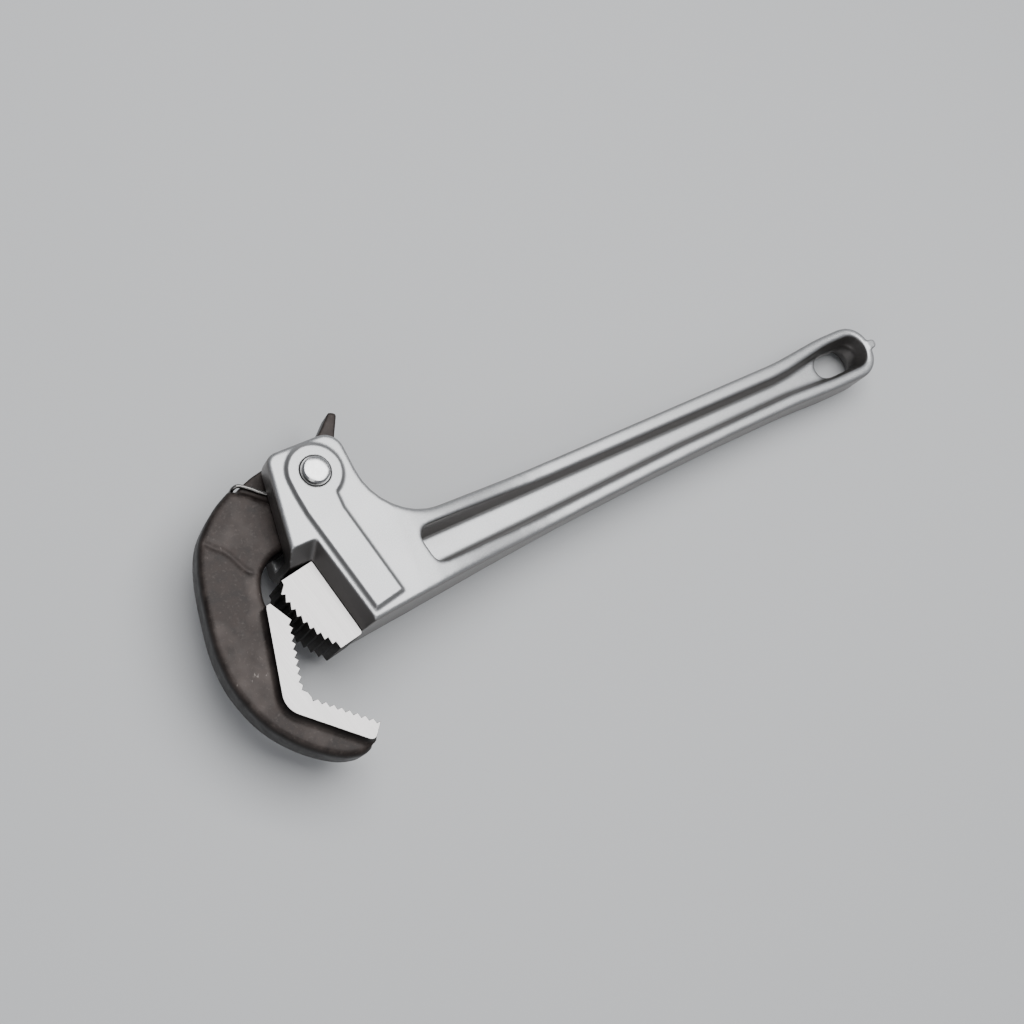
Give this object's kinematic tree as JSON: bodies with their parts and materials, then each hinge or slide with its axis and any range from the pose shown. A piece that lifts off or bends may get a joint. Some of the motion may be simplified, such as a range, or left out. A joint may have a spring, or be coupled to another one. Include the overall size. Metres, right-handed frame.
{
  "type": "pipe wrench",
  "caption": "Self-adjusting pipe wrench with an aluminium I-beam handle, a spring-loaded forged hook jaw on a cross pin and a fixed toothed heel jaw.",
  "frame": {"origin": "on the hook jaw's pivot axis, at the rear end face of the pivot pin, which is the lowest point", "axes": "+X along the handle towards the hang hole, +Z across the thickness towards the front cheek, -Y towards the open pipe mouth"},
  "size_m": [0.4568, 0.1669, 0.0622],
  "materials": {
    "cast_aluminium": "fine cast satin",
    "forged_steel": "dark forged scale",
    "ground_steel": "ground and lightly brushed",
    "bright_steel": "turned and polished",
    "spring_steel": "dark drawn wire"
  },
  "bodies": {
    "handle": {"handle_casting": "cast_aluminium", "heel_jaw": "ground_steel", "heel_jaw_pin_upper": "bright_steel", "heel_jaw_pin_lower": "bright_steel", "pivot_pin": "bright_steel", "retaining_ring_front": "bright_steel", "retaining_ring_rear": "bright_steel", "spring_sleeve_front": "bright_steel", "spring_sleeve_rear": "bright_steel", "hook_spring": "spring_steel"},
    "hook": {"hook_jaw": "forged_steel"}
  },
  "joints": [
    {"name": "hook_swing", "type": "hinge", "parent": "handle", "child": "hook", "pos_m": [0, 0, 0.0311], "axis": [0, 0, -1], "range_deg": [0, 35], "stiffness_Nm_per_rad": 1.7, "springref_deg": -28.65, "deforming": ["hook_spring"]}
  ]
}
